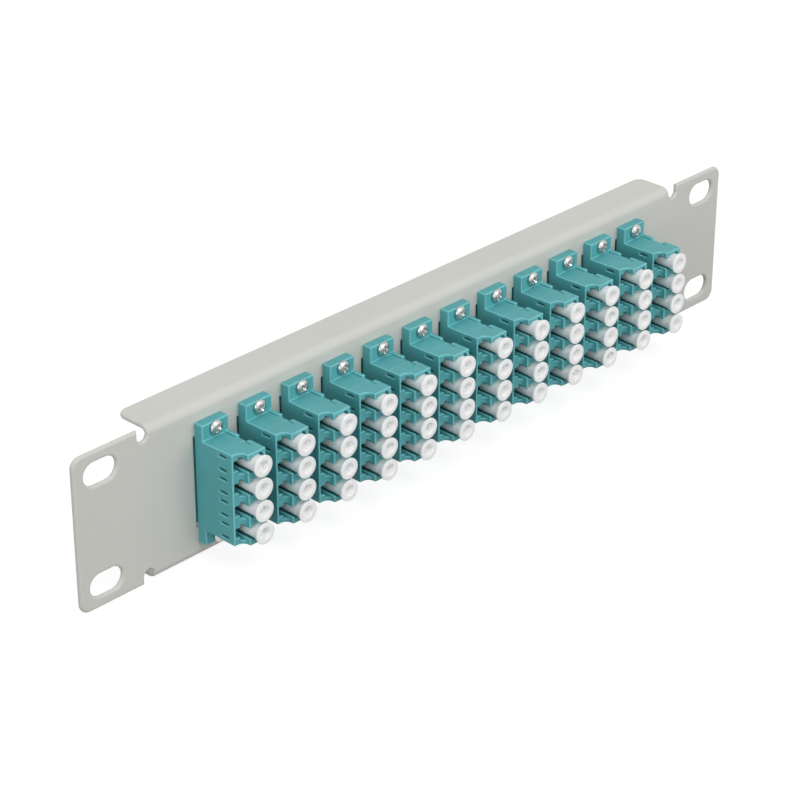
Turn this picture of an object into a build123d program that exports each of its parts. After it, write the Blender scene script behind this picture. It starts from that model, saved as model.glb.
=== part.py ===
"""Ten inch rack patch panel for optical fibre: a folded steel sheet with twelve four-port adapters.

Frame: +X runs along the panel to the right as seen from the front, +Y points into the rack and
+Z up. The origin is the centre of the rack mounting pattern, on the rear face of the sheet.
Sizes are in millimetres.
"""

from build123d import *
import os

# Folded sheet
PANEL_WIDTH = 254.0
PANEL_HEIGHT = 44.4
SHEET = 1.5
BEND_INSIDE_RADIUS = 1.0
FOLD_DEPTH = 10.6
FOLD_CORNER_RADIUS = 3.0
EAR_WIDTH = 21.0
EAR_CORNER_RADIUS = 3.0
RELIEF_WIDTH = 3.2
RELIEF_DEPTH = 3.7

# Rack mounting slots
SLOT_FROM_END = 8.75
SLOT_SPACING_Z = 31.75
SLOT_LENGTH = 10.5
SLOT_WIDTH = 6.5

# Row of adapters
ADAPTER_COUNT = 12
ADAPTER_PITCH = 15.1
ADAPTER_WIDTH = 9.0
ADAPTER_HEIGHT = 26.1
CUTOUT_SIDE_CLEARANCE = 0.3
CUTOUT_END_CLEARANCE = 0.45

# Mounting flange of an adapter
FLANGE_LEDGE = 4.45
FLANGE_THICKNESS = 3.05
SCREW_FROM_END = 1.8

# Heads of the fixing screws, faceted like the caps
SCREW_HEAD_DIAMETER = 4.1
SCREW_TOP_DIAMETER = 3.0
SCREW_HEAD_HEIGHT = 1.3
ROUND_SIDES = 8

# Front half of an adapter, measured forward from the panel's front face
LATCH_WALL_REACH = 13.9
MOUTH_REACH = 16.5
LATCH_WALL_WIDTH = 1.2
MOUTH_STEP_WIDTH = 3.0
CORNER_NOTCH_START = 7.1
CORNER_NOTCH_END = 10.8
CORNER_NOTCH_WIDTH = 1.0
CORNER_NOTCH_DEPTH = 0.7

# Rear half of an adapter, measured rearward from the panel's front face
REAR_LATCH_WALL_REACH = 12.4
REAR_MOUTH_REACH = 15.0

# Ports
PORT_COUNT = 4
PORT_PITCH = 6.5
PORT_SIZE = 4.7
PORT_OFFSET = 1.6
PORT_FLOOR = 3.5
LATCH_SLOT_HEIGHT = 2.8
LATCH_WALL = 0.6
BAND_HEIGHT = 4.6
BAND_WIDTH = 1.0
NECK_HEIGHT = 3.1
WINDOW_LENGTH = 3.0
WINDOW_HEIGHT = 0.7
WINDOW_SPACING = 3.9
WINDOW_DEPTH = 0.5
WINDOW_REACH = 8.7

# Dust caps
CAP_CLEARANCE = 0.05
CAP_SEAT_GAP = 0.1
CAP_INSERTION = 8.5
CAP_RIM_DIAMETER = 6.0
CAP_FLARE_LENGTH = 1.9
CAP_RIM_LENGTH = 0.5
CAP_HOLE_DIAMETER = 3.0
CAP_HOLE_DEPTH = 1.6

# Places worked out from the sizes above
PANEL_FRONT = -SHEET
FOLD_HALF_LENGTH = PANEL_WIDTH / 2 - EAR_WIDTH - RELIEF_WIDTH
SLOT_SPACING_X = PANEL_WIDTH - 2 * SLOT_FROM_END
FLANGE_HEIGHT = ADAPTER_HEIGHT + 2 * FLANGE_LEDGE
SCREW_SPACING = FLANGE_HEIGHT - 2 * SCREW_FROM_END
FLANGE_FRONT = PANEL_FRONT - FLANGE_THICKNESS
MOUTH_FRONT = PANEL_FRONT - MOUTH_REACH
REAR_MOUTH = PANEL_FRONT + REAR_MOUTH_REACH
HALF_WIDTH = ADAPTER_WIDTH / 2
HALF_HEIGHT = ADAPTER_HEIGHT / 2
PORT_LEFT = PORT_OFFSET - PORT_SIZE / 2
STEP_X = -HALF_WIDTH + MOUTH_STEP_WIDTH


def adapter_places():
    """X of every adapter's centre, from left to right."""
    first = -ADAPTER_PITCH * (ADAPTER_COUNT - 1) / 2
    return [first + ADAPTER_PITCH * i for i in range(ADAPTER_COUNT)]


def port_places():
    """Z of every port's axis in one adapter, from the top down."""
    first = PORT_PITCH * (PORT_COUNT - 1) / 2
    return [first - PORT_PITCH * i for i in range(PORT_COUNT)]


def block(x, y, z):
    """A box between the two values given for each axis."""
    size = [abs(high - low) for low, high in (x, y, z)]
    centre = [(low + high) / 2 for low, high in (x, y, z)]
    return Pos(*centre) * Box(*size)


def along_y(sketch, start, end):
    """A sketch drawn in X and Z, made solid between two values of Y."""
    return Pos(0, start, 0) * extrude(Plane.XZ * sketch, amount=start - end)


def channel():
    """Web, bends and the two folds that run rearward, as one constant section."""
    half = PANEL_HEIGHT / 2
    depth = SHEET + FOLD_DEPTH
    outer = Pos(PANEL_FRONT + depth / 2, 0) * Rectangle(depth, PANEL_HEIGHT)
    inner = Pos(FOLD_DEPTH, 0) * Rectangle(2 * FOLD_DEPTH, 2 * (half - SHEET))
    front = outer.vertices().sort_by(Axis.X)[:2]
    outer = fillet(front, BEND_INSIDE_RADIUS + SHEET)
    web = inner.vertices().sort_by(Axis.X)[:2]
    inner = fillet(web, BEND_INSIDE_RADIUS)
    solid = extrude(Plane.YZ * (outer - inner), amount=FOLD_HALF_LENGTH, both=True)
    rear = FOLD_DEPTH - SHEET
    corners = solid.edges().filter_by(Axis.Z).filter_by(lambda e: e.center().Y > rear)
    return fillet(corners, FOLD_CORNER_RADIUS)


def ears():
    """Both ears and the strip of web between them, cut from one flat sheet."""
    half = PANEL_HEIGHT / 2
    sheet = Rectangle(PANEL_WIDTH, PANEL_HEIGHT)
    sheet = fillet(sheet.vertices(), EAR_CORNER_RADIUS)
    fold_start = half - SHEET - BEND_INSIDE_RADIUS
    relief_bottom = half - RELIEF_DEPTH + RELIEF_WIDTH / 2
    for side in (-1, 1):
        strip = Pos(0, side * half) * Rectangle(2 * FOLD_HALF_LENGTH, 2 * (half - fold_start))
        sheet -= strip
        for end in (-1, 1):
            x = end * (FOLD_HALF_LENGTH + RELIEF_WIDTH / 2)
            height = half - relief_bottom
            sheet -= Pos(x, side * half) * Rectangle(RELIEF_WIDTH, 2 * height)
            sheet -= Pos(x, side * relief_bottom) * Circle(RELIEF_WIDTH / 2)
    return along_y(sheet, 0, PANEL_FRONT)


def panel():
    """The folded sheet with its rack slots and adapter cut-outs."""
    slots = GridLocations(SLOT_SPACING_X, SLOT_SPACING_Z, 2, 2)
    holes = slots * SlotOverall(SLOT_LENGTH, SLOT_WIDTH)
    width = ADAPTER_WIDTH + 2 * CUTOUT_SIDE_CLEARANCE
    height = ADAPTER_HEIGHT + 2 * CUTOUT_END_CLEARANCE
    row = GridLocations(ADAPTER_PITCH, 0, ADAPTER_COUNT, 1)
    cutouts = row * Rectangle(width, height)
    body = channel() + ears()
    for opening in holes + cutouts:
        body -= along_y(opening, SHEET, PANEL_FRONT - SHEET)
    return body


def faceted(radius, y):
    """A round face on the Y axis as an even polygon, with flats across its width and height."""
    polygon = RegularPolygon(radius, ROUND_SIDES, major_radius=False, rotation=180 / ROUND_SIDES)
    return Pos(0, y, 0) * (Plane.XZ * polygon)


def half_body(wall, mouth):
    """One half from the sheet's front face to its mouth, with the latch wall standing back."""
    inward = 1 if wall > mouth else -1
    corner = -HALF_WIDTH + LATCH_WALL_WIDTH
    slope = wall - inward * (STEP_X - corner)
    left = [(-HALF_WIDTH, PANEL_FRONT), (-HALF_WIDTH, wall), (corner, wall), (STEP_X, slope)]
    right = [(STEP_X, mouth), (HALF_WIDTH, mouth), (HALF_WIDTH, PANEL_FRONT)]
    plan = make_face(Polyline(*left, *right, close=True))
    return extrude(Pos(0, 0, -HALF_HEIGHT) * plan, amount=ADAPTER_HEIGHT)


def upright_strip(x, z, height):
    """A rectangle in X and Z between two values of X, centred on a height."""
    return Pos((x[0] + x[1]) / 2, z) * Rectangle(x[1] - x[0], height)


def port_outline(z):
    """Square bore for the plug, then beside it a neck, a wide band and the slot for the latch."""
    band_start = STEP_X - BAND_WIDTH
    bore = Pos(PORT_OFFSET, z) * Rectangle(PORT_SIZE, PORT_SIZE)
    neck = upright_strip((STEP_X, PORT_LEFT), z, NECK_HEIGHT)
    band = upright_strip((band_start, STEP_X), z, BAND_HEIGHT)
    slot = upright_strip((-HALF_WIDTH + LATCH_WALL, band_start), z, LATCH_SLOT_HEIGHT)
    return bore + neck + band + slot


def windows(z):
    """Two slits in the outside of the latch wall, level with one port."""
    start = PANEL_FRONT - WINDOW_REACH
    side = -HALF_WIDTH
    slit = block((side - WINDOW_DEPTH, side + WINDOW_DEPTH), (start - WINDOW_LENGTH, start), (0, WINDOW_HEIGHT))
    low = z - WINDOW_HEIGHT / 2
    return [Pos(0, 0, low + end * WINDOW_SPACING / 2) * slit for end in (-1, 1)]


def front_housing():
    """Front half of an adapter, with the mounting flange and four keyed ports."""
    solid = half_body(PANEL_FRONT - LATCH_WALL_REACH, MOUTH_FRONT)
    half_flange = FLANGE_HEIGHT / 2
    solid += block((-HALF_WIDTH, HALF_WIDTH), (FLANGE_FRONT, PANEL_FRONT), (-half_flange, half_flange))
    for z in port_places():
        solid -= along_y(port_outline(z), PANEL_FRONT - PORT_FLOOR, MOUTH_FRONT - SHEET)
        for window in windows(z):
            solid -= window
    notch_x = (HALF_WIDTH - CORNER_NOTCH_WIDTH, HALF_WIDTH + CORNER_NOTCH_WIDTH)
    notch_y = (PANEL_FRONT - CORNER_NOTCH_START, PANEL_FRONT - CORNER_NOTCH_END)
    for side in (-1, 1):
        low = side * (HALF_HEIGHT - CORNER_NOTCH_DEPTH)
        solid -= block(notch_x, notch_y, (low, side * (HALF_HEIGHT + CORNER_NOTCH_DEPTH)))
    return solid


def cap_head(seat, side):
    """Faces of a dust cap's head on the Y axis, from its seat through the flare to the rim."""
    band = seat + side * CAP_FLARE_LENGTH
    face = band + side * CAP_RIM_LENGTH
    stem = PORT_SIZE / 2 - CAP_CLEARANCE
    rim = CAP_RIM_DIAMETER / 2
    return [faceted(stem, seat), faceted(rim, band), faceted(rim, face)]


def rear_housing():
    """Rear half of an adapter, which passes through the cut-out, with its four ports capped."""
    solid = half_body(PANEL_FRONT + REAR_LATCH_WALL_REACH, REAR_MOUTH)
    cap = loft(cap_head(REAR_MOUTH, 1), ruled=True)
    for z in port_places():
        solid += Pos(PORT_OFFSET, 0, z) * cap
    return solid


def flange_screw():
    """Head of one fixing screw on the Y axis, seated on the flange."""
    base = faceted(SCREW_HEAD_DIAMETER / 2, FLANGE_FRONT)
    top = faceted(SCREW_TOP_DIAMETER / 2, FLANGE_FRONT - SCREW_HEAD_HEIGHT)
    return loft([base, top], ruled=True)


def dust_cap():
    """Stopper on the Y axis: a stem that fills the port, a flare and a rim with a blind hole."""
    end = faceted(PORT_SIZE / 2 - CAP_CLEARANCE, MOUTH_FRONT + CAP_INSERTION)
    outside = cap_head(MOUTH_FRONT - CAP_SEAT_GAP, -1)
    solid = loft([end, *outside], ruled=True)
    face = outside[-1].center().Y
    hole = [faceted(CAP_HOLE_DIAMETER / 2, y) for y in (face - CAP_HOLE_DEPTH, face + CAP_HOLE_DEPTH)]
    return solid - loft(hole, ruled=True)


def write(solids, name):
    """Write one node's solids to its own file."""
    node = Compound(children=list(solids)) if len(solids) > 1 else solids[0]
    node.label = name
    export_step(node, f"parts/{name}.step")


def main():
    os.makedirs("parts", exist_ok=True)
    adapters = [Pos(x, 0, 0) for x in adapter_places()]
    ports = [Pos(x + PORT_OFFSET, 0, z) for x in adapter_places() for z in port_places()]
    screws = [Pos(x, 0, side * SCREW_SPACING / 2) for x in adapter_places() for side in (1, -1)]
    groups = {
        "front_housings": (front_housing(), adapters),
        "rear_housings": (rear_housing(), adapters),
        "flange_screws": (flange_screw(), screws),
    }
    write([panel()], "panel")
    for name, (piece, places) in groups.items():
        write([place * piece for place in places], name)
    cap = dust_cap()
    for i, port in enumerate(ports):
        adapter, row = divmod(i, PORT_COUNT)
        write([port * cap], f"dust_cap_{adapter + 1:02d}_{row + 1}")


main()
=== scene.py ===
"""Dresses a ten inch fibre patch panel: powder coated sheet, aqua adapters, dust caps, screws.

Every object is in metres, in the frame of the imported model: +X along the panel, +Y into the rack,
+Z up. Sizes that are written in millimetres go through MM.
"""

import math
import random

import bmesh
import bpy
from mathutils import Matrix, Vector


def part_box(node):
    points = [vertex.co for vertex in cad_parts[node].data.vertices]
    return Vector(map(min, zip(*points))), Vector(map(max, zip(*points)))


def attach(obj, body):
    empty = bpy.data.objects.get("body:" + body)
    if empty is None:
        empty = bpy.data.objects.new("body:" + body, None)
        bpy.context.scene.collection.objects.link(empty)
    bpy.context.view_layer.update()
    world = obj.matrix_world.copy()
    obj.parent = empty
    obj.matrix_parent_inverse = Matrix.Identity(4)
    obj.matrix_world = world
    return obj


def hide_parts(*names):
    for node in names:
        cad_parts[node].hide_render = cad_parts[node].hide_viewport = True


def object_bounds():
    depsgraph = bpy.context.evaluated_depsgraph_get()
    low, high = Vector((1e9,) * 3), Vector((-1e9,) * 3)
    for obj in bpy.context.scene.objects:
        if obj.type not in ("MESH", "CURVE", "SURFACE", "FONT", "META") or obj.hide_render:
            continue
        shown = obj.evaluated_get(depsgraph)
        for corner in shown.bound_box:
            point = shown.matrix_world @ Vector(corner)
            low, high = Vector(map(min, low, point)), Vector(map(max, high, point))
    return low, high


bl_info = {
    "name": "Fibre Patch Panel",
    "version": (1, 0, 0),
    "blender": (4, 5, 0),
    "location": "3D View > Sidebar > Fibre Panel",
    "description": "Builds the sheet, adapters, dust caps and screws of a fibre patch panel",
    "category": "Object",
}

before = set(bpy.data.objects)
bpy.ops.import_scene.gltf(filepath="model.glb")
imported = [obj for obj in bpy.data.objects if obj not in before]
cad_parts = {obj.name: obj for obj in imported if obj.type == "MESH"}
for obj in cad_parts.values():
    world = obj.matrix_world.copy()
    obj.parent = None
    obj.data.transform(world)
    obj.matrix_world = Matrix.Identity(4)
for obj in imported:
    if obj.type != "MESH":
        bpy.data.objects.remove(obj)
CAD_LOW, CAD_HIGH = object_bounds()
MM = 0.001
ROOT = "panel_assembly"

# All sizes from here to the materials are in millimetres, unless a comment says otherwise.
# Laps and overshoots let one solid run into, or past, the one that it joins or cuts.
LAP = 0.1
OVERSHOOT = 1

# Sheet: X along, Y depth and Z height from the middle of its rear face
SHEET_FRONT = -1.5
SHEET_THICK = 1.5
SHEET_END = 127.0
SHEET_TOP = 22.2
EAR_RADIUS = 3.0
SLOT_X = 118.25
SLOT_Z = 15.875
SLOT_LENGTH = 10.5
SLOT_WIDTH = 6.5
SLOT_STEPS = 16
RELIEF_RADIUS = 1.6
RELIEF_STEPS = 14
RELIEF_BOTTOM = 20.1
CUTOUT_SIDE_GAP = 0.12
CUTOUT_END_GAP = 0.1

# Bends and folds
BEND_RADIUS = 1.0
BEND_SWELL = 0.0015  # how far the bend stands outside the flat faces that it covers
BEND_STEPS = 14
BEND_END_STEPS = 5
BEND_RUN = 1.3  # length of the flat strips at both sides of the bend
FOLD_START = 19.7
FOLD_END = 102.8
FOLD_REACH = 10.6
FOLD_RADIUS = 3.0
FOLD_GAP = 0.05

# Both halves of an adapter, from the middle of the adapter
ADAPTERS = 12
HALF_WIDTH = 4.5
HALF_HEIGHT = 13.05
STEP_X = -1.5
CORNER_X = -HALF_WIDTH + 1.2
ARC_STEPS = 7
BAND_START = CORNER_X + (STEP_X - CORNER_X) * math.sin(math.pi / ARC_STEPS)

# Front half
MOUTH = -18.0
LATCH_WALL = SHEET_FRONT - 13.9
BODY_FRONT = -11.4
SHELL_REAR = -11.1
SHELL_RISE = 0.15
SHELL_OUT = 0.2
FLANGE_FRONT = -4.55
FLANGE_HALF_HEIGHT = 17.5
FLANGE_LAP = 0.5
RIB_START = 3.4
RIB_FRONT = -8.6
RIB_ROOT = 12.5
NOTCH_X = (2.5, 3.3)
NOTCH_Y = (-16.0, MOUTH - OVERSHOOT)
NOTCH_Z = (-0.3, 0.4)  # from the upper edge of the first bore

# Shallow cuts in both ends of a front half: X range, Y range and depth
END_CUTS = (
    ((3.4, 5.5), (-8.6, -12.1), 0.7),  # pocket at the right edge
    ((2.8, 3.4), (-11.7, -14.2), 0.45),  # groove in front of the pocket
    ((-HALF_WIDTH - OVERSHOOT, 3.5), (-11.0, -11.22), 0.2),  # seam of the shell
    ((2.8, 3.4), (FLANGE_FRONT, -8.9), 0.5),  # groove beside the rib
)

# Rear half
REAR_MOUTH = 13.5
REAR_LATCH_WALL = SHEET_FRONT + 12.4
RELIEF_IN_SHEET = 1.3
RELIEF_LAP = 0.2

# Ports, from a port's axis or the middle of the adapter
PORTS = 4
PORT_OFFSET = 1.6
PORT_SIZE = 4.7
NECK_HALF = 1.55
BAND_HALF = 2.3
LATCH_HALF = 1.4
LATCH_X = -3.9
WINDOW_FROM_AXIS = 1.95
WINDOW_HALF = 0.35
FRONT_FLOORS = (-5.0, -7.5)  # of the bore and of the latch slot
FRONT_WINDOW = (-10.2, -13.2)
REAR_FLOORS = (0.5, 2.5)
REAR_WINDOW = (5.6, 8.6)

# Rings and sleeves on the port floors: inner and outer radius, rear and front end
RING = (0.85, 1.3, -4.9, -7.35)
SLEEVE = (0.625, 0.8, -5.0, -7.0)
RING_SOFTNESS = 0.08
SLEEVE_SOFTNESS = 0.04
TUBE_SEGMENTS = 32

# Dust caps, with lengths from the seat at the mouth
CAP_SEGMENTS = 40
CAP_GAP = 0.1
CAP_CLEARANCE = 0.05
CAP_FLARE = 1.9
CAP_FACE = 2.4
CAP_STEM = 8.6
CAP_BORE = 1.3
CAP_BORE_FLOOR = 3
CAP_FLARE_POINTS = ((0.08, -0.5), (0.3, -1.2))  # outward from the stem, forward of the seat
FLARE_STEP = 0.02
RIM_BEVEL = (0.1, 0.05)
HOLE_TAPER = 0.9
HOLE_LIP = 0.5
STEM_SOFTNESS = 0.5
RIM_SOFTNESS = 0.14

# Screws and nuts
SCREW_HALF_SPACING = 15.7
HEAD_SEGMENTS = 40
HEAD_UNDERCUT = 0.45
HEAD_GAP = 0.15
HEAD_SIDE = 0.45
HEAD_DOME = 0.75
DOME_STEPS = 8
DOME_FULLNESS = 0.7
NECK_DEPTH = 0.2
RECESS_TOP = (-6.2, 0.56, 0.36)  # Y, half length as a share of the width, half breadth
RECESS_FLOOR = (-4.9, 0.28, 0.2)
NUT = ((0, 0.0), (2.31, 0.0), (2.31, 1.4), (2.0, 1.6), (1.15, 1.6), (1.0, 1.45), (0, 1.45))
SCREW_END = ((0, 1.2), (1.0, 1.2), (1.0, 2.1), (0.8, 2.4), (0, 2.4))
NUT_SIDES = 6
SCREW_END_SEGMENTS = 24
TURN_SEED = 7
METAL_EDGE = 0.00006  # in metres

# Meshes
ON_AXIS = 0.000001  # radius below which a point of a profile is on the axis
WELD_DISTANCE = 0.000002  # in metres
FLAT_ANGLE = 0.5  # degrees between faces that are joined
SOFT_REACH = 0.49  # share of a profile's straight part that one rounding may take
PLATE_EDGE_STEPS = 3

# Rounding of edges
EDGE_SEGMENTS = 2
EDGE_ROOM = 0.36  # share of a flat face's breadth that the rounding of one edge may take
CONCAVE_SHARE = 0.6
CURVED_BREADTH = 3  # breadth given to curved faces, as a multiple of the rounding
SHALLOW_TURN = 1  # degrees between the facets of a curved face, at least
SMOOTH_ANGLE = 30  # degrees

# Materials: the usual range of a noise value, and heights of bumps in metres
NOISE_LOW = 0.3
NOISE_HIGH = 0.7
ROUGHNESS_SHIFT = 0.07
SLEEVE_COLOUR = (0.82, 0.8, 0.74)
PEEL_HEIGHT = 0.00003
GRIT_HEIGHT = 0.000006
MOULD_HEIGHT = 0.000006
CAP_GRAIN_HEIGHT = 0.000004
TURNING_HEIGHT = 0.000003
CERAMIC_HEIGHT = 0.000001

# Stage
FLOOR_HALF = 3000.0
FLOOR_GAP = 0.1
FLOOR_MATT = 0.22
FLOOR_GLOW = 0.86
CAMERA_TURN = -46.075  # degrees about Z, from straight in front
CAMERA_RISE = 28.052  # degrees above the horizon
CAMERA_AIM = (-11.159, 0, -5.928)
CAMERA_DISTANCE = 721.373
SENSOR_WIDTH = 36
CLIP_RANGE = (0.01, 20)  # metres

# Soft lamps aimed at the origin: name, place and size in metres, and share of the lamp power
LAMPS = (
    ("key", (-0.2, -0.75, 1.0), 0.5, 1.0),
    ("front", (0.3, -1.2, 0.35), 0.8, 0.8),
    ("side", (-1.15, -0.4, 0.3), 0.8, 0.75),
    ("back", (0.3, 1.25, 0.3), 0.8, 0.55),
)


class SheetSettings(bpy.types.PropertyGroup):
    """The folded sheet"""

    colour: bpy.props.FloatVectorProperty(
        name="Powder colour",
        description="Colour of the baked powder coat",
        subtype="COLOR",
        min=0,
        max=1,
        default=(0.61, 0.612, 0.572),
    )
    edge: bpy.props.FloatProperty(
        name="Edge radius",
        description="Rounding that the powder gives the sheet's cut edges",
        unit="LENGTH",
        default=0.0007,
    )
    grain: bpy.props.FloatProperty(
        name="Orange peel size",
        description="Width of one ripple of the powder coat",
        unit="LENGTH",
        default=0.0009,
    )


class AdapterSettings(bpy.types.PropertyGroup):
    """The adapters"""

    colour: bpy.props.FloatVectorProperty(
        name="Housing colour",
        description="Colour of the moulded adapter halves",
        subtype="COLOR",
        min=0,
        max=1,
        default=(0.088, 0.38, 0.404),
    )
    edge: bpy.props.FloatProperty(
        name="Edge radius",
        description="Rounding of the moulded edges",
        unit="LENGTH",
        default=0.00028,
    )
    # Painted highlight: white mixed into the colour of the rounded edges stands in for the light
    # that they catch.
    edge_highlight_paint: bpy.props.FloatProperty(
        name="Edge paleness",
        description="Share of white in the moulded edges",
        default=0.06,
    )
    rib_height: bpy.props.FloatProperty(
        name="Rib height",
        description="How far the two end ribs stand above the body",
        unit="LENGTH",
        default=0.0003,
    )


class CapSettings(bpy.types.PropertyGroup):
    """The dust caps"""

    colour: bpy.props.FloatVectorProperty(
        name="Cap colour",
        description="Colour of the soft dust caps",
        subtype="COLOR",
        min=0,
        max=1,
        default=(0.97, 0.97, 0.965),
    )
    rim: bpy.props.FloatProperty(
        name="Rim diameter",
        description="Diameter of the round grip",
        unit="LENGTH",
        default=0.006,
    )
    hole: bpy.props.FloatProperty(
        name="Hole diameter",
        description="Diameter of the blind hole in the grip",
        unit="LENGTH",
        default=0.0032,
    )
    hole_depth: bpy.props.FloatProperty(
        name="Hole depth",
        description="Depth of the blind hole in the grip",
        unit="LENGTH",
        default=0.0022,
    )


class ScrewSettings(bpy.types.PropertyGroup):
    """The screws and nuts"""

    head: bpy.props.FloatProperty(
        name="Head diameter",
        description="Diameter of the pan head",
        unit="LENGTH",
        default=0.004,
    )
    recess: bpy.props.FloatProperty(
        name="Recess width",
        description="Tip to tip width of the cross recess",
        unit="LENGTH",
        default=0.0027,
    )
    colour: bpy.props.FloatVectorProperty(
        name="Plating colour",
        description="Colour of the nickel plating",
        subtype="COLOR",
        min=0,
        max=1,
        default=(0.58, 0.57, 0.56),
    )


class StageSettings(bpy.types.PropertyGroup):
    """The light and the camera"""

    lens: bpy.props.FloatProperty(
        name="Focal length",
        description="Focal length of the camera in millimetres",
        default=118.2,
    )
    sky: bpy.props.FloatProperty(
        name="Sky strength",
        description="Strength of the even white light from all sides",
        default=0.6,
    )
    lamp: bpy.props.FloatProperty(
        name="Lamp power",
        description="Power of the large soft lamp",
        unit="POWER",
        default=4.3,
    )


class FibrePanelSettings(bpy.types.PropertyGroup):
    """All that can be set, by piece"""

    sheet: bpy.props.PointerProperty(type=SheetSettings)
    adapter: bpy.props.PointerProperty(type=AdapterSettings)
    cap: bpy.props.PointerProperty(type=CapSettings)
    screw: bpy.props.PointerProperty(type=ScrewSettings)
    stage: bpy.props.PointerProperty(type=StageSettings)


def port_axis(adapter, port):
    """X and Z of a port's axis, read from its dust cap."""
    low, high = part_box(f"dust_cap_{adapter + 1:02d}_{port + 1}")
    return (low[0] + high[0]) / 2, (low[2] + high[2]) / 2


def adapter_x(adapter):
    """X of the middle of an adapter, in metres."""
    return port_axis(adapter, 0)[0] - PORT_OFFSET * MM


def port_heights():
    """Z of the ports of an adapter, top down, in millimetres."""
    return [port_axis(0, port)[1] / MM for port in range(PORTS)]


def slab(bm, x, y, z):
    """Add a closed box between two values of each axis, in millimetres."""
    corners = [Vector((a, b, c)) * MM for a in sorted(x) for b in sorted(y) for c in sorted(z)]
    v = [bm.verts.new(corner) for corner in corners]
    for a, b, c, d in (
        (0, 1, 3, 2),
        (4, 6, 7, 5),
        (0, 4, 5, 1),
        (2, 3, 7, 6),
        (0, 2, 6, 4),
        (1, 5, 7, 3),
    ):
        bm.faces.new((v[a], v[b], v[c], v[d]))


def prism(bm, plan, z):
    """Add a closed prism over a plan of X and Y points, in millimetres."""
    low = [bm.verts.new(Vector((x, y, z[0])) * MM) for x, y in plan]
    high = [bm.verts.new(Vector((x, y, z[1])) * MM) for x, y in plan]
    bm.faces.new(low)
    bm.faces.new(list(reversed(high)))
    for i, a in enumerate(low):
        j = (i + 1) % len(low)
        bm.faces.new((a, high[i], high[j], low[j]))


def softened(profile, radius, steps=4):
    """Round the inner corners of an open profile of (radius, along) points."""
    points = [Vector(profile[0])]
    for before, corner, after in zip(profile, profile[1:], profile[2:]):
        b, c, a = Vector(before), Vector(corner), Vector(after)
        shorter = min((b - c).length, (a - c).length)
        reach = min(radius, shorter * SOFT_REACH)
        start = c + (b - c).normalized() * reach
        end = c + (a - c).normalized() * reach
        for i in range(steps + 1):
            t = i / steps
            points.append(start * (1 - t) ** 2 + c * 2 * t * (1 - t) + end * t**2)
    return points + [Vector(profile[-1])]


def lathe(bm, profile, segments, centre=(0, 0)):
    """Turn a profile of (radius, Y) points in millimetres about an axis along Y."""
    rings = []
    for radius, y in profile:
        if radius < ON_AXIS:
            rings.append([bm.verts.new(Vector((centre[0], y, centre[1])) * MM)])
            continue
        ring = []
        for i in range(segments):
            a = math.tau * i / segments
            x, z = centre[0] + radius * math.cos(a), centre[1] + radius * math.sin(a)
            ring.append(bm.verts.new(Vector((x, y, z)) * MM))
        rings.append(ring)
    for one, two in zip(rings, rings[1:]):
        for i in range(segments):
            j = (i + 1) % segments
            if len(one) == 1:
                bm.faces.new((one[0], two[i], two[j]))
            elif len(two) == 1:
                bm.faces.new((one[j], one[i], two[0]))
            else:
                bm.faces.new((one[j], one[i], two[i], two[j]))


def new_mesh(bm, name):
    """Turn a mesh under construction into mesh data, with its faces facing out."""
    bmesh.ops.recalc_face_normals(bm, faces=bm.faces)
    mesh = bpy.data.meshes.new(name)
    bm.to_mesh(mesh)
    bm.free()
    return mesh


def linked(obj):
    """Put an object in the scene."""
    bpy.context.scene.collection.objects.link(obj)
    return obj


def new_object(bm, name):
    """Turn a mesh under construction into an object in the scene."""
    return linked(bpy.data.objects.new(name, new_mesh(bm, name)))


def applied_mesh(obj):
    """The mesh of an object with its modifiers or curve settings applied."""
    view = bpy.context.evaluated_depsgraph_get()
    return bpy.data.meshes.new_from_object(obj.evaluated_get(view))


def carve(obj, steps):
    """Join and cut an object with helper solids, in order, and remove the helpers."""
    for operation, tool in steps:
        cut = obj.modifiers.new(tool.name, "BOOLEAN")
        cut.operation = operation
        cut.object = tool
        cut.solver = "EXACT"
        mesh = applied_mesh(obj)
        obj.modifiers.clear()
        obj.data = mesh
        bpy.data.objects.remove(tool)
        clean(mesh)


def clean(mesh):
    """Merge loose corners and join flat triangles, so that only real edges are left."""
    bm = bmesh.new()
    bm.from_mesh(mesh)
    bmesh.ops.remove_doubles(bm, verts=bm.verts, dist=WELD_DISTANCE)
    flat = math.radians(FLAT_ANGLE)
    bmesh.ops.dissolve_limit(bm, angle_limit=flat, verts=bm.verts, edges=bm.edges)
    bmesh.ops.recalc_face_normals(bm, faces=bm.faces)
    bm.to_mesh(mesh)
    bm.free()


def weigh_edges(mesh, width, angle):
    """Give each real edge its share of the rounding: less beside narrow faces and in corners."""
    bm = bmesh.new()
    bm.from_mesh(mesh)
    share = bm.edges.layers.float.new("bevel_weight_edge")
    turns = {edge: math.degrees(edge.calc_face_angle_signed(0)) for edge in bm.edges}
    breadth = {}
    for face in bm.faces:
        curved = any(SHALLOW_TURN < abs(turns[edge]) <= angle for edge in face.edges)
        longest = max(edge.calc_length() for edge in face.edges)
        breadth[face] = width * CURVED_BREADTH if curved else face.calc_area() / longest
    for edge, turn in turns.items():
        if abs(turn) > angle:
            room = EDGE_ROOM * min(breadth[face] for face in edge.link_faces) / width
            edge[share] = min(1.0 if turn > 0 else CONCAVE_SHARE, room)
    bm.to_mesh(mesh)
    bm.free()


def shade_smooth(obj):
    """Shade every face of an object smooth."""
    for face in obj.data.polygons:
        face.use_smooth = True


def shade_weighted(obj):
    """Shade an object smooth, with normals that follow its larger faces."""
    shade_smooth(obj)
    normals = obj.modifiers.new("shading", "WEIGHTED_NORMAL")
    normals.keep_sharp = True


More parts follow.
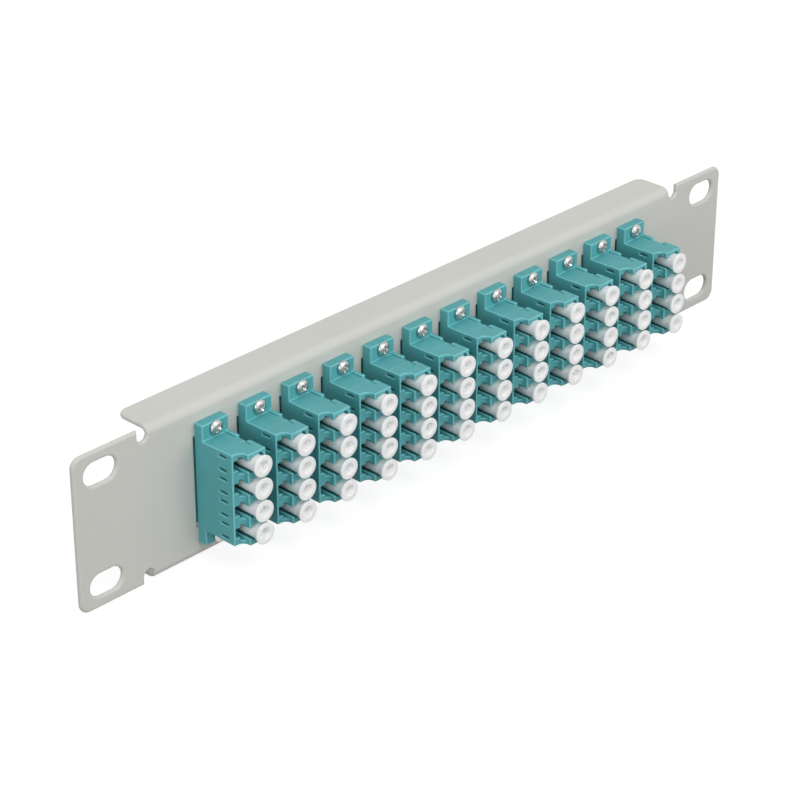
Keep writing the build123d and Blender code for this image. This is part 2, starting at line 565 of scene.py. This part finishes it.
def finish_edges(obj, width, angle=35, edge_slot=-1):
    """Round the real edges, so that each takes a line of light, and leave the rest flat."""
    weigh_edges(obj.data, width, angle)
    bevel = obj.modifiers.new("edges", "BEVEL")
    # the rounded faces take the material in edge_slot; on the housings that is the paler edge
    # material, a painted highlight, in concave corners too
    bevel.material = edge_slot
    bevel.width = width
    bevel.segments = EDGE_SEGMENTS
    bevel.limit_method = "WEIGHT"
    bevel.use_clamp_overlap = False
    bevel.miter_outer = "MITER_ARC"
    shade_weighted(obj)


def repeat(obj, count, step):
    """Repeat an object in a row, in place."""
    row = obj.modifiers.new("row", "ARRAY")
    row.count = count
    row.use_relative_offset = False
    row.use_constant_offset = True
    row.constant_offset_displace = step


def repeat_ports(obj):
    """Repeat a piece of the first port at all ports of its adapter."""
    repeat(obj, PORTS, (0, 0, port_axis(0, 1)[1] - port_axis(0, 0)[1]))


def repeat_adapters(obj):
    """Repeat a piece of one adapter at all adapters."""
    repeat(obj, ADAPTERS, (adapter_x(1) - adapter_x(0), 0, 0))
    obj.location.x = adapter_x(0)


def place(obj, body, materials, slot, *nodes):
    """Give a finished piece its materials and its body, and hide the imported parts that it stands
    in for.
    """
    obj.data.materials.clear()
    for material in materials:
        obj.data.materials.append(material)
    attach(obj, body)
    if nodes:
        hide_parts(*nodes)


def blank(name):
    """A material with one principled shader, and its node tree."""
    material = bpy.data.materials.get(name) or bpy.data.materials.new(name)
    material.use_nodes = True
    tree = material.node_tree
    tree.nodes.clear()
    shader = tree.nodes.new("ShaderNodeBsdfPrincipled")
    output = tree.nodes.new("ShaderNodeOutputMaterial")
    tree.links.new(shader.outputs["BSDF"], output.inputs["Surface"])
    return material, tree, shader


def noise(tree, size, detail=2.0, stretch=(1, 1, 1)):
    """Noise whose features are about the given size in metres."""
    where = tree.nodes.new("ShaderNodeTexCoord")
    scale = tree.nodes.new("ShaderNodeMapping")
    scale.inputs["Scale"].default_value = stretch
    pattern = tree.nodes.new("ShaderNodeTexNoise")
    pattern.inputs["Scale"].default_value = 1 / size
    pattern.inputs["Detail"].default_value = detail
    tree.links.new(where.outputs["Object"], scale.inputs["Vector"])
    tree.links.new(scale.outputs["Vector"], pattern.inputs["Vector"])
    return pattern.outputs["Fac"]


def spread(tree, value, low, high):
    """Map the usual range of a noise value to another range."""
    node = tree.nodes.new("ShaderNodeMapRange")
    node.inputs["From Min"].default_value = NOISE_LOW
    node.inputs["From Max"].default_value = NOISE_HIGH
    node.inputs["To Min"].default_value = low
    node.inputs["To Max"].default_value = high
    tree.links.new(value, node.inputs["Value"])
    return node.outputs["Result"]


def tint(tree, value, colour, darker, lighter):
    """The colour, shifted between a darker and a lighter share of itself by a noise value."""
    mix = tree.nodes.new("ShaderNodeMix")
    mix.data_type = "RGBA"
    mix.inputs["A"].default_value = (*[c * darker for c in colour], 1)
    mix.inputs["B"].default_value = (*[min(1, c * lighter) for c in colour], 1)
    tree.links.new(spread(tree, value, 0, 1), mix.inputs["Factor"])
    return mix.outputs["Result"]


def bump(tree, shader, *layers):
    """Stack bumps on a shader: each layer is a noise value and its height in metres."""
    normal = None
    for value, height in layers:
        node = tree.nodes.new("ShaderNodeBump")
        node.inputs["Strength"].default_value = 1.0
        node.inputs["Distance"].default_value = height
        tree.links.new(value, node.inputs["Height"])
        if normal is not None:
            tree.links.new(normal, node.inputs["Normal"])
        normal = node.outputs["Normal"]
    tree.links.new(normal, shader.inputs["Normal"])


def drive(tree, shader, colour, roughness):
    """Let other nodes give a shader its colour and roughness."""
    tree.links.new(colour, shader.inputs["Base Color"])
    tree.links.new(roughness, shader.inputs["Roughness"])


def powder_coat(settings):
    """Light grey baked powder: a fine orange peel with a soft sheen."""
    material, tree, shader = blank("powder_coat")
    cloud = noise(tree, size=0.03)
    peel = noise(tree, size=settings.grain)
    grit = noise(tree, size=settings.grain / 5)
    colour = tint(tree, cloud, settings.colour, darker=0.985, lighter=1.015)
    drive(tree, shader, colour, spread(tree, peel, low=0.36, high=0.48))
    shader.inputs["Specular IOR Level"].default_value = 0.2
    shader.inputs["Coat Weight"].default_value = 0.08
    shader.inputs["Coat Roughness"].default_value = 0.14
    bump(tree, shader, (peel, PEEL_HEIGHT), (grit, GRIT_HEIGHT))
    return [material]


def moulded_plastic(name, colour, roughness):
    """Aqua moulded plastic with a fine spark-eroded grain."""
    material, tree, shader = blank(name)
    flow = noise(tree, size=0.006, stretch=(1, 0.35, 1))
    grain = noise(tree, size=0.00022)
    low, high = roughness - ROUGHNESS_SHIFT, roughness + ROUGHNESS_SHIFT
    colour = tint(tree, flow, colour, darker=0.96, lighter=1.05)
    drive(tree, shader, colour, spread(tree, grain, low, high))
    shader.inputs["Specular IOR Level"].default_value = 0.4
    bump(tree, shader, (grain, MOULD_HEIGHT))
    return material


def housing_plastic(settings):
    """The plastic of the adapters, and that of their rounded edges: smoother, and lightened with
    white as a painted highlight.
    """
    highlight_share = settings.edge_highlight_paint
    # painted highlight: the edge colour is the face colour lifted and mixed with white
    highlight_colour = [c * (1 + 5 * highlight_share) * (1 - highlight_share) + highlight_share for c in settings.colour]
    faces = moulded_plastic("housing_plastic", settings.colour, roughness=0.42)
    return [faces, moulded_plastic("housing_painted_highlight", highlight_colour, roughness=0.34)]


def cap_plastic(settings):
    """Soft white plastic that lets a little light through."""
    material, tree, shader = blank("cap_plastic")
    flow = noise(tree, size=0.003)
    grain = noise(tree, size=0.0004)
    colour = tint(tree, flow, settings.colour, darker=0.98, lighter=1.02)
    drive(tree, shader, colour, spread(tree, grain, low=0.36, high=0.46))
    shader.inputs["Subsurface Weight"].default_value = 0.4
    shader.inputs["Subsurface Radius"].default_value = (0.0016, 0.0015, 0.0014)
    shader.inputs["Subsurface Scale"].default_value = 1.0
    bump(tree, shader, (grain, CAP_GRAIN_HEIGHT))
    return [material]


def nickel_plate(settings):
    """Bright nickel with fine turning marks round the head."""
    material, tree, shader = blank("nickel_plate")
    marks = noise(tree, size=0.00012, detail=3.0, stretch=(1, 6, 1))
    stain = noise(tree, size=0.0015)
    colour = tint(tree, stain, settings.colour, darker=0.9, lighter=1.05)
    drive(tree, shader, colour, spread(tree, marks, low=0.22, high=0.36))
    shader.inputs["Metallic"].default_value = 1.0
    bump(tree, shader, (marks, TURNING_HEIGHT))
    return [material]


def sleeve_ceramic():
    """Off-white zirconia of the alignment sleeves."""
    material, tree, shader = blank("sleeve_ceramic")
    grain = noise(tree, size=0.0003)
    colour = tint(tree, grain, SLEEVE_COLOUR, darker=0.97, lighter=1.02)
    drive(tree, shader, colour, spread(tree, grain, low=0.12, high=0.22))
    bump(tree, shader, (grain, CERAMIC_HEIGHT))
    return [material]


def half_plan(start, wall, mouth, right=HALF_WIDTH):
    """Plan of one adapter half: the latch wall stands back behind a hollow quarter round."""
    side = 1 if wall > mouth else -1
    radius = STEP_X - CORNER_X
    plan = [(-HALF_WIDTH, start), (-HALF_WIDTH, wall), (CORNER_X, wall)]
    for i in range(1, ARC_STEPS + 1):
        a = math.pi / 2 * i / ARC_STEPS
        plan.append((CORNER_X + radius * math.sin(a), wall - side * radius * (1 - math.cos(a))))
    return plan + [(STEP_X, mouth), (right, mouth), (right, start)]


def cutters(name, groups):
    """One helper solid for each group of boxes, so that no helper cuts through itself."""
    tools = []
    for i, boxes in enumerate(groups):
        bm = bmesh.new()
        for x, y, z in boxes:
            slab(bm, x, y, z)
        tools.append(("DIFFERENCE", new_object(bm, f"{name}_{i}")))
    return tools


def port_cuts(floors, mouth, slit):
    """Boxes of four keyed ports: bores, wide bands, necks, latch slots and the latch windows."""
    half, heights = PORT_SIZE / 2, port_heights()
    left, right = PORT_OFFSET - half, PORT_OFFSET + half
    keyway = (floors[1], mouth)

    def boxes(x, y, half_height, middles):
        return [(x, y, (z - half_height, z + half_height)) for z in middles]

    latches = [z + end * WINDOW_FROM_AXIS for z in heights for end in (-1, 1)]
    return [
        boxes((left, right), (floors[0], mouth), half, heights),
        boxes((BAND_START, STEP_X), keyway, BAND_HALF, heights),
        boxes((STEP_X - LAP, left + 2 * LAP), keyway, NECK_HALF, heights),
        boxes((LATCH_X, BAND_START + LAP), keyway, LATCH_HALF, heights),
        boxes((-HALF_WIDTH - OVERSHOOT, BAND_START + 2 * LAP), slit, WINDOW_HALF, latches),
    ]


def end_cuts():
    """Boxes of the notches beside the end ports and of the shallow cuts in both ends."""
    edge = port_heights()[0] + PORT_SIZE / 2
    notch = [edge + z for z in NOTCH_Z]
    groups = [[(NOTCH_X, NOTCH_Y, [side * z for z in notch]) for side in (-1, 1)]]
    for x, y, depth in END_CUTS:
        ends = (HALF_HEIGHT - depth, HALF_HEIGHT + OVERSHOOT)
        groups.append([(x, y, [side * z for z in ends]) for side in (-1, 1)])
    return groups


def front_joins(rib):
    """The raised front shell, the flange and the end ribs of a front half."""
    shell, flange, ribs = bmesh.new(), bmesh.new(), bmesh.new()
    top = HALF_HEIGHT + SHELL_RISE
    prism(shell, half_plan(SHELL_REAR, LATCH_WALL, MOUTH, HALF_WIDTH + SHELL_OUT), (-top, top))
    height = (-FLANGE_HALF_HEIGHT, FLANGE_HALF_HEIGHT)
    slab(flange, (-HALF_WIDTH, HALF_WIDTH), (SHEET_FRONT, FLANGE_FRONT), height)
    for side in (-1, 1):
        height = (side * RIB_ROOT, side * (HALF_HEIGHT + rib))
        slab(ribs, (RIB_START, HALF_WIDTH), (FLANGE_FRONT + FLANGE_LAP, RIB_FRONT), height)
    named = ((shell, "shell"), (flange, "flange"), (ribs, "ribs"))
    return [("UNION", new_object(bm, name)) for bm, name in named]


def make_front_halves(settings):
    """The row of front halves with flanges, keyed ports, latch windows and end ribs."""
    bm = bmesh.new()
    depth, height = (BODY_FRONT, FLANGE_FRONT + FLANGE_LAP), (-HALF_HEIGHT, HALF_HEIGHT)
    slab(bm, (-HALF_WIDTH, HALF_WIDTH), depth, height)
    body = new_object(bm, "adapter_fronts")
    groups = port_cuts(FRONT_FLOORS, MOUTH - OVERSHOOT, FRONT_WINDOW) + end_cuts()
    carve(body, front_joins(settings.rib_height / MM) + cutters("front_cut", groups))
    # slot 1 holds the paler edge material, a painted highlight on the rounded edges
    finish_edges(body, settings.edge, edge_slot=1)
    repeat_adapters(body)
    place(body, ROOT, housing_plastic(settings), "adapter_plastic", "front_housings")


def make_rear_halves(settings):
    """The row of rear halves that pass through the sheet, narrower within it."""
    bm = bmesh.new()
    prism(bm, half_plan(SHEET_FRONT, REAR_LATCH_WALL, REAR_MOUTH), (-HALF_HEIGHT, HALF_HEIGHT))
    body = new_object(bm, "adapter_rears")
    inner, outer = HALF_WIDTH - RELIEF_IN_SHEET, HALF_WIDTH + OVERSHOOT
    depth = (SHEET_FRONT - RELIEF_LAP, RELIEF_LAP)
    height = (-HALF_HEIGHT - OVERSHOOT, HALF_HEIGHT + OVERSHOOT)
    relief = [((side * inner, side * outer), depth, height) for side in (-1, 1)]
    groups = port_cuts(REAR_FLOORS, REAR_MOUTH + OVERSHOOT, REAR_WINDOW) + [relief]
    carve(body, cutters("rear_cut", groups))
    # slot 1 holds the paler edge material, a painted highlight on the rounded edges
    finish_edges(body, settings.edge, edge_slot=1)
    repeat_adapters(body)
    place(body, ROOT, housing_plastic(settings), "adapter_plastic", "rear_housings")


def cap_profile(settings):
    """Profile of a dust cap, from the stem's end over the flare and rim to the hole's floor."""
    stem = PORT_SIZE / 2 - CAP_CLEARANCE
    rim, hole = settings.rim / MM / 2, settings.hole / MM / 2
    shoulder = rim - RIM_BEVEL[0]
    seat = MOUTH - CAP_GAP
    band, face = seat - CAP_FLARE, seat - CAP_FACE
    end, floor = seat + CAP_STEM, seat + CAP_BORE_FLOOR
    hole_floor = face + settings.hole_depth / MM
    inside = [(0, floor), (CAP_BORE, floor), (CAP_BORE, end), (stem, end), (stem, MOUTH)]
    flare = [(stem + out, seat + along) for out, along in CAP_FLARE_POINTS]
    flare.append((shoulder, band + FLARE_STEP))
    grip = [(shoulder, band), (rim, band - RIM_BEVEL[1]), (rim, face), (hole + HOLE_LIP, face)]
    dimple = [(hole, face), (hole * HOLE_TAPER, hole_floor), (0, hole_floor)]
    return softened(inside + flare, STEM_SOFTNESS) + softened(grip + dimple, RIM_SOFTNESS)


def make_cap(settings, name):
    """A dust cap on the axis of the port, with its seat at the mouth."""
    bm = bmesh.new()
    lathe(bm, cap_profile(settings), CAP_SEGMENTS)
    cap = new_object(bm, name)
    shade_smooth(cap)
    return cap


def make_front_caps(settings):
    """Forty-eight dust caps, one in each front port, each on its own body."""
    first = make_cap(settings, "cap_01_1")
    materials = cap_plastic(settings)
    for adapter in range(ADAPTERS):
        for port in range(PORTS):
            key = f"{adapter + 1:02d}_{port + 1}"
            cap = first
            if adapter or port:
                cap = linked(bpy.data.objects.new(f"cap_{key}", first.data))
            x, z = port_axis(adapter, port)
            cap.location = (x, 0, z)
            place(cap, f"cap_{key}", materials, "cap_plastic", f"dust_cap_{key}")


def make_rear_caps(settings):
    """The dust caps of the rear ports, which are turned round."""
    cap = make_cap(settings, "rear_caps")
    half_turn = Matrix.Rotation(math.pi, 4, "Z")
    seat = MOUTH + REAR_MOUTH - CAP_GAP
    shift = Matrix.Translation((PORT_OFFSET * MM, seat * MM, port_heights()[0] * MM))
    cap.data.transform(shift @ half_turn)
    repeat_ports(cap)
    repeat_adapters(cap)
    place(cap, ROOT, cap_plastic(settings), "cap_plastic")


def make_tubes(name, sizes, softness, materials, slot):
    """One tube on the axis of each port, from its inner and outer radius and its two ends."""
    inner, outer, rear, front = sizes
    section = [(inner, rear), (inner, front), (outer, front), (outer, rear), (inner, rear)]
    centre = (PORT_OFFSET, port_heights()[0])
    bm = bmesh.new()
    lathe(bm, softened(section, softness, steps=3), TUBE_SEGMENTS, centre)
    tubes = new_object(bm, name)
    shade_smooth(tubes)
    repeat_ports(tubes)
    repeat_adapters(tubes)
    place(tubes, ROOT, materials, slot)


def make_sleeves(adapter_settings):
    """The rings on the port floors and the ceramic sleeves in them, seen once a cap is out."""
    plastic = housing_plastic(adapter_settings)
    make_tubes("port_rings", RING, RING_SOFTNESS, plastic, "adapter_plastic")
    make_tubes("ceramic_sleeves", SLEEVE, SLEEVE_SOFTNESS, sleeve_ceramic(), "cap_plastic")


def recess_bars(width):
    """Two tapered bars that cut a cross recess in a head on the Y axis, one after the other."""
    bars = []
    for turn in (0, math.pi / 2):
        c, s = math.cos(turn), math.sin(turn)
        bm = bmesh.new()
        sections = []
        for y, share, half in (RECESS_TOP, RECESS_FLOOR):
            reach = width * share
            corners = ((-reach, -half), (reach, -half), (reach, half), (-reach, half))
            points = [Vector((a * c - b * s, y, a * s + b * c)) * MM for a, b in corners]
            sections.append([bm.verts.new(point) for point in points])
        top, floor = sections
        bm.faces.new(top)
        bm.faces.new(list(reversed(floor)))
        for i in range(4):
            j = (i + 1) % 4
            bm.faces.new((top[i], floor[i], floor[j], top[j]))
        bars.append(("DIFFERENCE", new_object(bm, "recess_bar")))
    return bars


def head_profile(radius):
    """Profile of a pan head with a short neck below it, from the neck to the top of the dome."""
    neck, base = radius - HEAD_UNDERCUT, FLANGE_FRONT - HEAD_GAP
    profile = [(0, FLANGE_FRONT + NECK_DEPTH), (neck, FLANGE_FRONT + NECK_DEPTH)]
    profile += [(neck, base), (radius, base), (radius, FLANGE_FRONT - HEAD_SIDE)]
    for i in range(1, DOME_STEPS + 1):
        a = math.pi / 2 * i / DOME_STEPS
        across = radius * math.cos(a) ** DOME_FULLNESS if i < DOME_STEPS else 0
        profile.append((across, FLANGE_FRONT - HEAD_SIDE - HEAD_DOME * math.sin(a)))
    return [Vector(point) for point in profile]


def make_screws(settings):
    """Pan heads with a cross recess, two on each flange, each turned its own way."""
    bm = bmesh.new()
    lathe(bm, head_profile(settings.head / MM / 2), HEAD_SEGMENTS)
    head = new_object(bm, "screw_heads")
    carve(head, recess_bars(settings.recess / MM))
    row = bmesh.new()
    angles = random.Random(TURN_SEED)
    for adapter in range(ADAPTERS):
        for side in (1, -1):
            turned = Matrix.Rotation(angles.uniform(0, math.pi / 2), 4, "Y")
            centre = (adapter_x(adapter), 0, side * SCREW_HALF_SPACING * MM)
            mesh = head.data.copy()
            mesh.transform(Matrix.Translation(centre) @ turned)
            row.from_mesh(mesh)
            bpy.data.meshes.remove(mesh)
    row.to_mesh(head.data)
    row.free()
    finish_edges(head, METAL_EDGE, angle=40)
    place(head, ROOT, nickel_plate(settings), "screw_steel", "flange_screws")


def make_nuts(settings):
    """Hexagon nuts behind the sheet, with the screws' ends through them."""
    bm = bmesh.new()
    centre = (0, SCREW_HALF_SPACING)
    lathe(bm, NUT, NUT_SIDES, centre)
    lathe(bm, SCREW_END, SCREW_END_SEGMENTS, centre)
    nuts = new_object(bm, "flange_nuts")
    finish_edges(nuts, METAL_EDGE, angle=30)
    repeat(nuts, 2, (0, 0, -2 * SCREW_HALF_SPACING * MM))
    repeat_adapters(nuts)
    place(nuts, ROOT, nickel_plate(settings), "screw_steel")


def arc(centre, radius, start, end, steps=10):
    """Points of an arc in degrees, both ends included."""
    angles = [math.radians(start + (end - start) * i / steps) for i in range(steps + 1)]
    return [(centre[0] + radius * math.cos(a), centre[1] + radius * math.sin(a)) for a in angles]


def web_outline():
    """Outline of the flat web with its ears and relief notches, in X and Z."""
    middle = FOLD_END + RELIEF_RADIUS
    fall = math.asin((RELIEF_BOTTOM - FOLD_START) / RELIEF_RADIUS)
    quarter = [(middle - RELIEF_RADIUS * math.cos(fall), FOLD_START)]
    start = 180 + math.degrees(fall)
    quarter += arc((middle, RELIEF_BOTTOM), RELIEF_RADIUS, start, 360, RELIEF_STEPS)
    quarter += [(FOLD_END + 2 * RELIEF_RADIUS, SHEET_TOP)]
    quarter += arc((SHEET_END - EAR_RADIUS, SHEET_TOP - EAR_RADIUS), EAR_RADIUS, 90, 0)
    right = quarter + [(x, -z) for x, z in reversed(quarter)]
    return right + [(-x, z) for x, z in reversed(right)]


def slot_outline(x, z):
    """Outline of a rack slot with round ends."""
    radius = SLOT_WIDTH / 2
    reach = SLOT_LENGTH / 2 - radius
    right = arc((x + reach, z), radius, -90, 90, SLOT_STEPS)
    return right + arc((x - reach, z), radius, 90, 270, SLOT_STEPS)


def plate(name, outlines, low, high, edge, turn=None):
    """A flat plate between two depths, with every cut edge rounded, from outlines in its plane."""
    curve = bpy.data.curves.new(name, "CURVE")
    curve.dimensions = "2D"
    curve.fill_mode = "BOTH"
    curve.extrude = (high - low) / 2 * MM - edge
    curve.bevel_depth = edge
    curve.bevel_resolution = PLATE_EDGE_STEPS
    curve.offset = -edge
    for outline in outlines:
        spline = curve.splines.new("POLY")
        spline.points.add(len(outline) - 1)
        spline.use_cyclic_u = True
        for point, (a, b) in zip(spline.points, outline):
            point.co = (a * MM, b * MM, 0, 1)
    obj = linked(bpy.data.objects.new(name, curve))
    mesh = applied_mesh(obj)
    bpy.data.objects.remove(obj)
    mesh.transform(Matrix.Translation((0, 0, (low + high) / 2 * MM)))
    if turn is not None:
        mesh.transform(turn)
    return mesh


def bend_section(inset):
    """Section of a bend in Y and Z: a short strip of web, the curve and the start of the fold."""
    outside = BEND_RADIUS + SHEET_THICK + BEND_SWELL - inset
    inside = BEND_RADIUS - BEND_SWELL + inset
    y, z = BEND_RADIUS, FOLD_START
    outer = [(y - outside, z - BEND_RUN)] + arc((y, z), outside, 180, 90, BEND_STEPS)
    inner = arc((y, z), inside, 90, 180, BEND_STEPS) + [(y - inside, z - BEND_RUN)]
    return outer + [(y + BEND_RUN, z + outside), (y + BEND_RUN, z + inside)] + inner


def bend_mesh(side, edge):
    """One bend along the panel, with its two cut ends rounded."""
    radius = edge / MM
    turns = [math.pi / 2 * i / BEND_END_STEPS for i in range(BEND_END_STEPS + 1)]
    half = [(FOLD_END - radius * (1 - math.sin(a)), radius * (1 - math.cos(a))) for a in turns]
    rings = [(-x, inset) for x, inset in reversed(half)] + half
    bm = bmesh.new()
    loops = []
    for x, inset in rings:
        points = [Vector((x, y, side * z)) * MM for y, z in bend_section(inset)]
        loops.append([bm.verts.new(point) for point in points])
    bm.faces.new(loops[0])
    bm.faces.new(list(reversed(loops[-1])))
    for one, two in zip(loops, loops[1:]):
        for i in range(len(one)):
            j = (i + 1) % len(one)
            bm.faces.new((one[i], one[j], two[j], two[i]))
    return new_mesh(bm, "bend")


def sheet_cuts():
    """Outlines of the rack slots and of the adapters' cut-outs."""
    cuts = [slot_outline(x * SLOT_X, z * SLOT_Z) for x in (-1, 1) for z in (-1, 1)]
    width, height = HALF_WIDTH + CUTOUT_SIDE_GAP, HALF_HEIGHT + CUTOUT_END_GAP
    corners = ((-width, -height), (width, -height), (width, height), (-width, height))
    for adapter in range(ADAPTERS):
        x = adapter_x(adapter) / MM
        cuts.append([(x + a, b) for a, b in corners])
    return cuts


def fold_outline():
    """Outline of a fold with round rear corners, in X and Y."""
    x, y = FOLD_END - FOLD_RADIUS, FOLD_REACH - FOLD_RADIUS
    start = BEND_RADIUS + FOLD_GAP
    right = arc((x, y), FOLD_RADIUS, 0, 90)
    return [(-FOLD_END, start), (FOLD_END, start)] + right + arc((-x, y), FOLD_RADIUS, 90, 180)


def make_sheet(settings):
    """The folded sheet: web with ears, two bends and two folds, every cut edge rounded."""
    upright = Matrix.Rotation(math.pi / 2, 4, "X")
    outlines = [web_outline()] + sheet_cuts()
    parts = [plate("web", outlines, 0, SHEET_THICK, settings.edge, upright)]
    for side in (-1, 1):
        low, high = sorted((side * SHEET_TOP, side * (SHEET_TOP - SHEET_THICK)))
        parts.append(plate("fold", [fold_outline()], low, high, settings.edge))
        parts.append(bend_mesh(side, settings.edge))
    bm = bmesh.new()
    for mesh in parts:
        bm.from_mesh(mesh)
        bpy.data.meshes.remove(mesh)
    sheet = new_object(bm, "sheet_panel")
    shade_weighted(sheet)
    sheet.data.set_sharp_from_angle(angle=math.radians(SMOOTH_ANGLE))
    place(sheet, ROOT, powder_coat(settings), "panel_steel", "panel")


def soft_lamp(name, location, size, power):
    """A round area lamp aimed at the origin."""
    data = bpy.data.lights.new(name, "AREA")
    data.shape = "DISK"
    data.size = size
    data.energy = power
    lamp = linked(bpy.data.objects.new(name, data))
    lamp.location = location
    lamp.rotation_euler = (-Vector(location)).to_track_quat("-Z", "Y").to_euler()


def seen_directly(tree):
    """One where a ray comes from the camera, a reflection or clear glass, and zero elsewhere."""
    path = tree.nodes.new("ShaderNodeLightPath")
    total = path.outputs["Is Camera Ray"]
    for name in ("Is Glossy Ray", "Is Transmission Ray"):
        add = tree.nodes.new("ShaderNodeMath")
        add.operation = "MAXIMUM"
        tree.links.new(total, add.inputs[0])
        tree.links.new(path.outputs[name], add.inputs[1])
        total = add.outputs[0]
    return total


def make_world(strength):
    """Even white light from all sides, before a white backdrop."""
    world = bpy.data.worlds.new("studio")
    bpy.context.scene.world = world
    world.use_nodes = True
    tree = world.node_tree
    tree.nodes.clear()
    sky = tree.nodes.new("ShaderNodeBackground")
    sky.inputs["Strength"].default_value = strength
    backdrop = tree.nodes.new("ShaderNodeBackground")
    backdrop.inputs["Strength"].default_value = 1.0
    mix = tree.nodes.new("ShaderNodeMixShader")
    output = tree.nodes.new("ShaderNodeOutputWorld")
    for node in (sky, backdrop):
        node.inputs["Color"].default_value = (1, 1, 1, 1)
    tree.links.new(seen_directly(tree), mix.inputs["Fac"])
    tree.links.new(sky.outputs[0], mix.inputs[1])
    tree.links.new(backdrop.outputs[0], mix.inputs[2])
    tree.links.new(mix.outputs[0], output.inputs["Surface"])


def floor_material():
    """White floor that keeps the shadow and shows as the white backdrop."""
    material = bpy.data.materials.new("studio_floor")
    material.use_nodes = True
    tree = material.node_tree
    tree.nodes.clear()
    matt = tree.nodes.new("ShaderNodeBsdfDiffuse")
    matt.inputs["Color"].default_value = (FLOOR_MATT, FLOOR_MATT, FLOOR_MATT, 1)
    glow = tree.nodes.new("ShaderNodeEmission")
    glow.inputs["Color"].default_value = (FLOOR_GLOW, FLOOR_GLOW, FLOOR_GLOW, 1)
    tree.links.new(seen_directly(tree), glow.inputs["Strength"])
    add = tree.nodes.new("ShaderNodeAddShader")
    output = tree.nodes.new("ShaderNodeOutputMaterial")
    tree.links.new(matt.outputs[0], add.inputs[0])
    tree.links.new(glow.outputs[0], add.inputs[1])
    tree.links.new(add.outputs[0], output.inputs["Surface"])
    return material


def make_floor():
    """A wide flat floor just below the panel."""
    bm = bmesh.new()
    low, reach = CAD_LOW[2] / MM - FLOOR_GAP, FLOOR_HALF
    corners = ((-reach, -reach), (reach, -reach), (reach, reach), (-reach, reach))
    bm.faces.new([bm.verts.new(Vector((x, y, low)) * MM) for x, y in corners])
    floor = new_object(bm, "studio_floor")
    floor.data.materials.append(floor_material())


def make_camera(lens):
    """The camera of the product view."""
    data = bpy.data.cameras.new("product_view")
    data.lens = lens
    data.sensor_width = SENSOR_WIDTH
    data.clip_start, data.clip_end = CLIP_RANGE
    camera = linked(bpy.data.objects.new("product_view", data))
    a, e = math.radians(CAMERA_TURN), math.radians(CAMERA_RISE)
    back = Vector((math.sin(a) * math.cos(e), -math.cos(a) * math.cos(e), math.sin(e)))
    camera.location = Vector(CAMERA_AIM) * MM + back * CAMERA_DISTANCE * MM
    camera.rotation_euler = (-back).to_track_quat("-Z", "Y").to_euler()
    bpy.context.scene.camera = camera


def make_stage(settings):
    """White floor, even light, soft lamps and the camera of the product view."""
    make_floor()
    make_world(settings.sky)
    for name, location, size, share in LAMPS:
        soft_lamp(name, location, size, settings.lamp * share)
    make_camera(settings.lens)
    bpy.context.scene.view_settings.view_transform = "Standard"


class FIBREPANEL_OT_sheet(bpy.types.Operator):
    """Dress the folded sheet"""

    bl_idname = "fibre_panel.sheet"
    bl_label = "Folded sheet"

    def execute(self, context):
        make_sheet(context.scene.fibre_panel.sheet)
        return {"FINISHED"}


class FIBREPANEL_OT_adapters(bpy.types.Operator):
    """Build the front and rear halves of the adapters and their inner rings"""

    bl_idname = "fibre_panel.adapters"
    bl_label = "Adapters"

    def execute(self, context):
        settings = context.scene.fibre_panel.adapter
        make_front_halves(settings)
        make_rear_halves(settings)
        make_sleeves(settings)
        return {"FINISHED"}


class FIBREPANEL_OT_caps(bpy.types.Operator):
    """Build the dust caps of the front and rear ports"""

    bl_idname = "fibre_panel.caps"
    bl_label = "Dust caps"

    def execute(self, context):
        make_front_caps(context.scene.fibre_panel.cap)
        make_rear_caps(context.scene.fibre_panel.cap)
        return {"FINISHED"}


class FIBREPANEL_OT_screws(bpy.types.Operator):
    """Build the fixing screws and the nuts behind the sheet"""

    bl_idname = "fibre_panel.screws"
    bl_label = "Screws and nuts"

    def execute(self, context):
        make_screws(context.scene.fibre_panel.screw)
        make_nuts(context.scene.fibre_panel.screw)
        return {"FINISHED"}


class FIBREPANEL_OT_stage(bpy.types.Operator):
    """Set up the floor, the light and the camera"""

    bl_idname = "fibre_panel.stage"
    bl_label = "Studio stage"

    def execute(self, context):
        make_stage(context.scene.fibre_panel.stage)
        return {"FINISHED"}


OPERATORS = (
    FIBREPANEL_OT_sheet,
    FIBREPANEL_OT_adapters,
    FIBREPANEL_OT_caps,
    FIBREPANEL_OT_screws,
    FIBREPANEL_OT_stage,
)


class FIBREPANEL_PT_build(bpy.types.Panel):
    """Lists the steps that build the panel"""

    bl_label = "Fibre Panel"
    bl_idname = "FIBREPANEL_PT_build"
    bl_space_type = "VIEW_3D"
    bl_region_type = "UI"
    bl_category = "Fibre Panel"

    def draw(self, context):
        for operator in OPERATORS:
            self.layout.operator(operator.bl_idname)


CLASSES = (
    SheetSettings,
    AdapterSettings,
    CapSettings,
    ScrewSettings,
    StageSettings,
    FibrePanelSettings,
    *OPERATORS,
    FIBREPANEL_PT_build,
)


def register():
    """Make the settings, the steps and the panel known."""
    for cls in CLASSES:
        bpy.utils.register_class(cls)
    bpy.types.Scene.fibre_panel = bpy.props.PointerProperty(type=FibrePanelSettings)


def unregister():
    """Take them out again."""
    del bpy.types.Scene.fibre_panel
    for cls in reversed(CLASSES):
        bpy.utils.unregister_class(cls)


def main():
    """Build everything in order."""
    register()
    bpy.ops.fibre_panel.sheet()
    bpy.ops.fibre_panel.adapters()
    bpy.ops.fibre_panel.caps()
    bpy.ops.fibre_panel.screws()
    bpy.ops.fibre_panel.stage()


if __name__ == "__main__":
    main()
